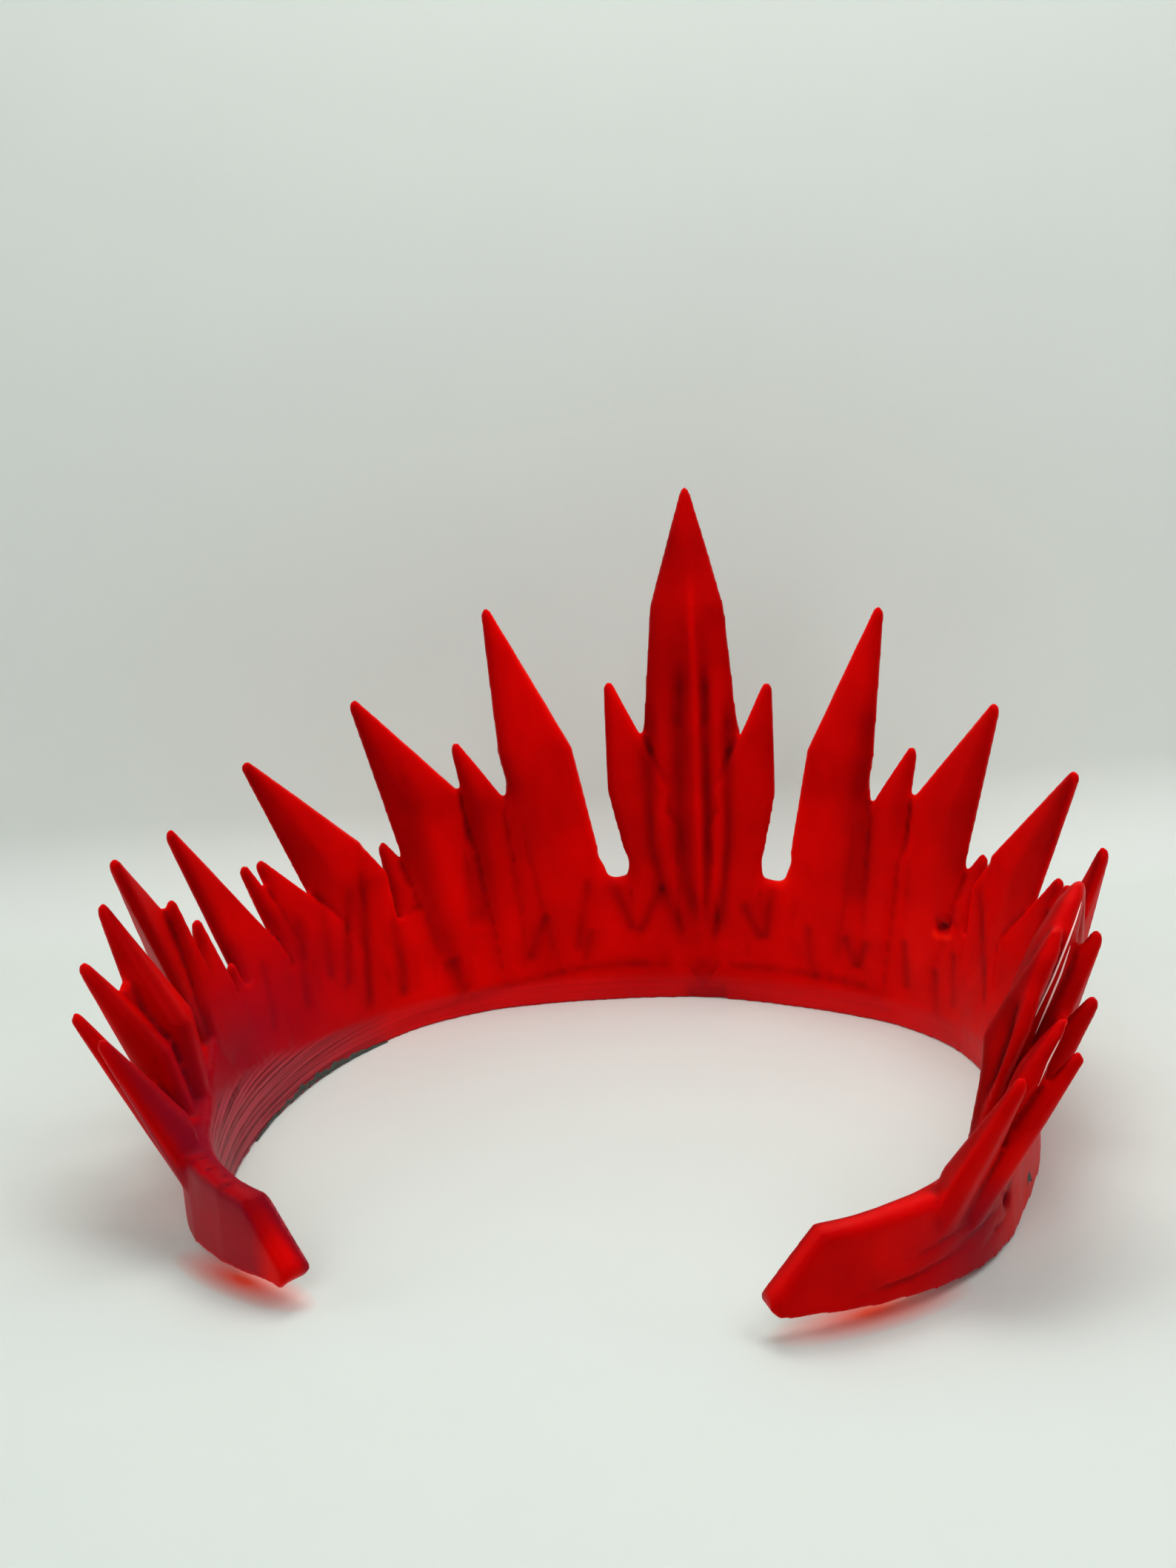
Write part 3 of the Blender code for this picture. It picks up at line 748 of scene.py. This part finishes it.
def paint_edge_highlights():
    """Painted highlight: a thin glossy tube painted pale, which draws a fine pale line of light along a crystal edge.
    """
    material, tree = new_material("pale_tube_painted_highlight")
    skin = node(tree, "ShaderNodeBsdfPrincipled", {"Base Color": linear("FFD2CC"), "Roughness": 0.25})
    node(tree, "ShaderNodeOutputMaterial", {"Surface": skin.outputs["BSDF"]})
    return material


# Thin tubes that carry painted highlights along crystal edges of the right arm: (degrees, radius, height) in mm along
# the edge
HIGHLIGHT_LINE_ROWS = (
    ((107.6, 84.9, 56.9), (109.5, 85.0, 54.6), (111.0, 84.7, 52.0), (112.6, 83.3, 46.6), (113.8, 80.4, 39.2),
     (114.3, 78.6, 35.2)),
    ((110.6, 84.9, 51.3), (111.5, 83.9, 47.0), (112.3, 82.4, 42.4), (112.9, 80.5, 37.2)),
    ((117.0, 88.1, 40.3), (118.1, 87.0, 36.9), (118.9, 86.1, 33.4)),
)
FIN_HALF = 0.17     # half thickness of a fin in mm
FIN_SIDES, FIN_STEPS = 8, 60


def make_highlight_lines():
    """Make the painted highlight lines: a thin tube along each path, thickness 2 * FIN_HALF * sin(pi * share of the
    length) ** 0.5.
    """
    side_angle = np.linspace(0.0, 2.0 * np.pi, FIN_SIDES, endpoint=False)[:, None, None]
    tubes = []
    for row in HIGHLIGHT_LINE_ROWS:
        share, fine = np.linspace(0.0, 1.0, len(row)), np.linspace(0.0, 1.0, FIN_STEPS)
        deg, radius, high = (np.interp(fine, share, values) for values in np.array(row).T)
        out, side = level_axes(deg)
        half = FIN_HALF * np.sqrt(np.sin(np.pi * np.clip(fine, 0.01, 0.99)))
        ring = np.cos(side_angle) * out[None] + np.sin(side_angle) * side[None]
        points = at_band(deg, radius, high)[None] + half[None, :, None] * ring
        tubes.append(closed(grid_mesh("fin", points * MM, closed_u=True)))
    mesh = joined("resin_fins", tubes)
    mesh.shade_smooth()
    return put_in_scene(mesh, "resin_fins", paint_edge_highlights())


# Dark green films: first and last degree, radius of the surface under it as (degrees, mm), height of its foot,
# its own height, how far it stands out (a negative one inwards), all in mm
DARK_FILM_ROWS = (
    (-96.0, -56.0, ((-97.0, 67.5), (-92.5, 67.2), (-80.4, 67.05), (-69.1, 67.85), (-58.3, 69.0), (-54.0, 69.4)),
     0.15, 1.7, -0.5),
    (100.5, 102.7, ((100.0, 72.7), (103.0, 72.7)), 3.4, 3.8, 0.35),
)
DARK_FILM_THICK = 0.1 * MM


def make_dark_films():
    """Make the thin dark green films: one on the foot of the band's inner face, a small one outside on the right.

    A point of a film is (radius(deg) + stand * bulge(v), deg, foot + height * v), where the height swells and
    fades along the film and bulge is a half sine.
    """
    films = []
    for first, last, surface, foot, tall, stand in DARK_FILM_ROWS:
        deg = np.linspace(first, last, 120)[:, None]
        share = (deg - first) / (last - first)
        high = tall * np.sin(np.pi * share) ** 1.1 * (1.0 + 0.4 * np.sin(1.9 * deg) * np.sin(0.7 * deg))
        v = np.linspace(0.0, 1.0, 7)[None, :]
        radius = np.interp(deg, *np.array(surface).T) + stand * np.sin(np.pi * v)
        films.append(grid_mesh("film", at_band(deg, radius, foot + high * v) * MM))
    grime = put_in_scene(joined("grime_under_band", films), "grime_under_band", dark_green_film())
    wall = grime.modifiers.new("wall", "SOLIDIFY")
    wall.thickness = DARK_FILM_THICK
    return grime


def camera_axes():
    """Return the camera's right, up and backward directions in the row frame.

    Lines along X meet at the vanishing point; the pitch then fixes how Z stands in the picture.
    """
    middle = np.array(IMAGE_SIZE) / 2.0
    across = -np.append(np.array(VANISHING_X) - middle, FOCAL_PIXELS)
    across /= np.linalg.norm(across)
    pitch = math.radians(CAMERA_PITCH)
    down, ahead = -math.cos(pitch), -math.sin(pitch)
    # the small side part a of Z is the one that makes Z square to X: a x + y down + z ahead = 0
    side = -(across[1] * down + across[2] * ahead) / across[0]
    up = np.array((side, down, ahead))
    up /= np.linalg.norm(up)
    front = np.cross(up, across)
    turn = np.array((across, front, up))
    return turn[:, 0], -turn[:, 1], -turn[:, 2]


def make_camera():
    """Make the camera at the photograph's viewing angle."""
    right, up, back = camera_axes()
    data = bpy.data.cameras.new("photo_view")
    data.sensor_width = SENSOR
    data.lens = FOCAL_PIXELS / max(IMAGE_SIZE) * SENSOR
    data.clip_start = 0.01
    data.clip_end = 20.0
    camera = bpy.data.objects.new("photo_view", data)
    bpy.context.scene.collection.objects.link(camera)
    matrix = Matrix.Identity(4)
    for column, axis in enumerate((right, up, back)):
        for line in range(3):
            matrix[line][column] = axis[line]
    matrix.translation = Vector(CAMERA_PLACE) * MM
    camera.matrix_world = matrix
    bpy.context.scene.camera = camera
    return camera


FLOOR_REACH, BOARD_RISE, HALF_WIDE = 1.6, 1.6, 2.0      # of the sheet that is floor and board, in metres


def make_sweep(props):
    """Make the floor and the board behind it as one sheet.

    Its profile is a flat floor, a quarter circle and an upright board, carried along a straight line that
    is square to the way the camera looks.
    """
    _, _, back = camera_axes()
    away = np.array((-back[0], -back[1]))
    away /= np.linalg.norm(away)
    side = np.array((away[1], -away[0]))
    bend = np.linspace(0.0, math.pi / 2, 24)[1:]
    flat = np.append(-FLOOR_REACH, np.linspace(-1.2, props.bend_starts, 12))
    upright = np.linspace(0.1, BOARD_RISE, 6)
    run = np.concatenate([flat, props.bend_starts + props.bend_radius * np.sin(bend),
                          np.full_like(upright, props.bend_starts + props.bend_radius)])
    rise = np.concatenate([np.zeros_like(flat), props.bend_radius * (1 - np.cos(bend)), props.bend_radius + upright])
    across = np.linspace(-HALF_WIDE, HALF_WIDE, 9)
    points = np.empty((len(across), len(run), 3))
    points[..., 0] = across[:, None] * side[0] + run[None, :] * away[0]
    points[..., 1] = across[:, None] * side[1] + run[None, :] * away[1]
    points[..., 2] = rise[None, :]
    mesh = grid_mesh("floor_and_board", points)
    mesh.shade_smooth()
    return put_in_scene(mesh, "floor_and_board", painted_board(props))


# Lamps: each is a square softbox that looks at the tiara.  Places in metres in the row frame; strength in watts.
LAMP_COLUMNS = ("name", "place", "size", "watts", "colour")
LAMP_ROWS = (
    ("softbox_behind_camera", (0.10, -1.20, 0.90), 0.8, 8.2, "FFFFFF"),
    ("left_window", (-0.90, -0.20, 0.50), 0.6, 2.6, "F6F4F8"),
    ("right_window", (0.90, -0.10, 0.45), 0.6, 0.7, "FFF4FF"),
    ("ceiling_lamp", (0.00, 0.02, 0.50), 0.3, 0.35, "FFFFFF"),
    ("ceiling_lamp_right", (0.35, -0.10, 0.55), 0.3, 0.95, "FFFDFF"),
    ("board_lamp", (0.00, 0.06, 0.40), 0.2, 0.50, "FFFDFB"),
)
LIT_PLACE = (0.0, 0.0, 0.04)


def make_lamps():
    """Make the softboxes, each turned to the middle of the tiara."""
    made = []
    for row in named_rows(LAMP_COLUMNS, LAMP_ROWS):
        data = bpy.data.lights.new(row["name"], "AREA")
        data.shape = "SQUARE"
        data.size = row["size"]
        data.energy = row["watts"]
        data.color = linear(row["colour"])[:3]
        lamp = bpy.data.objects.new(row["name"], data)
        bpy.context.scene.collection.objects.link(lamp)
        lamp.location = row["place"]
        lamp.rotation_euler = (Vector(LIT_PLACE) - lamp.location).to_track_quat("-Z", "Y").to_euler()
        made.append(lamp)
    return made


def make_world(props):
    """Give the room a weak pale light from all round."""
    world = bpy.data.worlds.new("pale_room")
    world.use_nodes = True
    background = world.node_tree.nodes["Background"]
    background.inputs["Color"].default_value = linear("E6EAE6")
    background.inputs["Strength"].default_value = props.room_light
    bpy.context.scene.world = world


class CastingSettings(bpy.types.PropertyGroup):
    """Sizes of the cast piece's finish."""

    voxel: FloatProperty(name="Detail", description="Size of the smallest kept detail", default=0.0005,
                         min=0.0004, unit="LENGTH", precision=5)
    melt: IntProperty(name="Melt", description="How often the edges are rounded", default=2, min=0)
    most_faces: IntProperty(name="Most faces", description="Most triangles of the finished piece",
                            default=190000, min=10000)
    swell: FloatProperty(name="Swell", description="Height of the slow waves of the surface", default=0.00002,
                         min=0.0, unit="LENGTH", precision=5)


class ResinSettings(bpy.types.PropertyGroup):
    """Colours of the resin."""

    wine: FloatVectorProperty(name="Wine", description="Colour of the resin in its own shade",
                              subtype="COLOR", size=3, min=0.0, max=1.0, default=linear("82081C")[:3])
    roughness: FloatProperty(name="Roughness", description="Satin of the unpolished skin", default=0.42,
                             min=0.0, max=1.0, subtype="FACTOR")


class StageSettings(bpy.types.PropertyGroup):
    """Sizes and colours of the stage."""

    floor: FloatVectorProperty(name="Floor", description="Colour of the board", subtype="COLOR", size=3,
                               min=0.0, max=1.0, default=linear("DAE2DC")[:3])
    bend_starts: FloatProperty(name="Bend starts", description="Where the board begins to rise, behind the origin",
                               default=0.107, unit="LENGTH")
    bend_radius: FloatProperty(name="Bend radius", description="Radius of the board's bend", default=0.022,
                               min=0.01, unit="LENGTH")
    room_light: FloatProperty(name="Room light", description="Strength of the light from all round", default=0.05,
                              min=0.0)


class TIARA_OT_casting(bpy.types.Operator):
    """Make the cast piece and its resin"""

    bl_idname = "tiara.casting"
    bl_label = "Cast piece"

    def execute(self, context):
        resin = cast_resin(context.scene.tiara_resin)
        if resin.name != RESIN_NAME:
            raise RuntimeError("the resin is already there; start from an empty file")
        casting = make_casting(context.scene.tiara_casting)
        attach(casting, "root")
        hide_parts("crown")
        return {"FINISHED"}


class TIARA_OT_fins(bpy.types.Operator):
    """Make the thin pale tubes that paint highlight lines on crystal edges of the right arm"""

    bl_idname = "tiara.fins"
    bl_label = "Fins"

    def execute(self, context):
        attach(make_highlight_lines(), "root")
        return {"FINISHED"}


class TIARA_OT_dark_films(bpy.types.Operator):
    """Make the thin dark green films on the band"""

    bl_idname = "tiara.grime"
    bl_label = "Dark films"

    def execute(self, context):
        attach(make_dark_films(), "root")
        return {"FINISHED"}


class TIARA_OT_stage(bpy.types.Operator):
    """Make the floor, the board behind it, the lamps and the camera"""

    bl_idname = "tiara.stage"
    bl_label = "Stage"

    def execute(self, context):
        sweep = make_sweep(context.scene.tiara_stage)
        make_world(context.scene.tiara_stage)
        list(make_lamps())
        make_camera()
        context.scene.view_settings.view_transform = "Standard"
        return {"FINISHED"}


class TIARA_PT_panel(bpy.types.Panel):
    """Lists the pieces and their settings"""

    bl_idname = "TIARA_PT_panel"
    bl_label = "Cast resin tiara"
    bl_space_type = "VIEW_3D"
    bl_region_type = "UI"
    bl_category = "Tiara"

    def draw(self, context):
        for group, operators in PANEL_ROWS:
            box = self.layout.box()
            settings = getattr(context.scene, group)
            for name in settings.__annotations__:
                box.prop(settings, name)
            for operator in operators:
                box.operator(operator)


# The panel's boxes: settings, and the operators under them
PANEL_ROWS = (("tiara_resin", ()), ("tiara_casting", ("tiara.casting", "tiara.fins", "tiara.grime")),
              ("tiara_stage", ("tiara.stage",)))
CLASSES = (CastingSettings, ResinSettings, StageSettings, TIARA_OT_casting, TIARA_OT_fins, TIARA_OT_dark_films,
           TIARA_OT_stage, TIARA_PT_panel)
GROUPS = {"tiara_casting": CastingSettings, "tiara_resin": ResinSettings, "tiara_stage": StageSettings}


def register():
    for cls in CLASSES:
        bpy.utils.register_class(cls)
    for name, cls in GROUPS.items():
        setattr(bpy.types.Scene, name, PointerProperty(type=cls))


def unregister():
    for name in GROUPS:
        delattr(bpy.types.Scene, name)
    for cls in reversed(CLASSES):
        bpy.utils.unregister_class(cls)


def main():
    """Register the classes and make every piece."""
    for name in ("Cube", "Light", "Camera"):
        if name in bpy.data.objects:
            bpy.data.objects.remove(bpy.data.objects[name])
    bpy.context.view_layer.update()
    register()
    bpy.ops.tiara.casting()
    bpy.ops.tiara.fins()
    bpy.ops.tiara.grime()
    bpy.ops.tiara.stage()


if __name__ == "__main__":
    main()
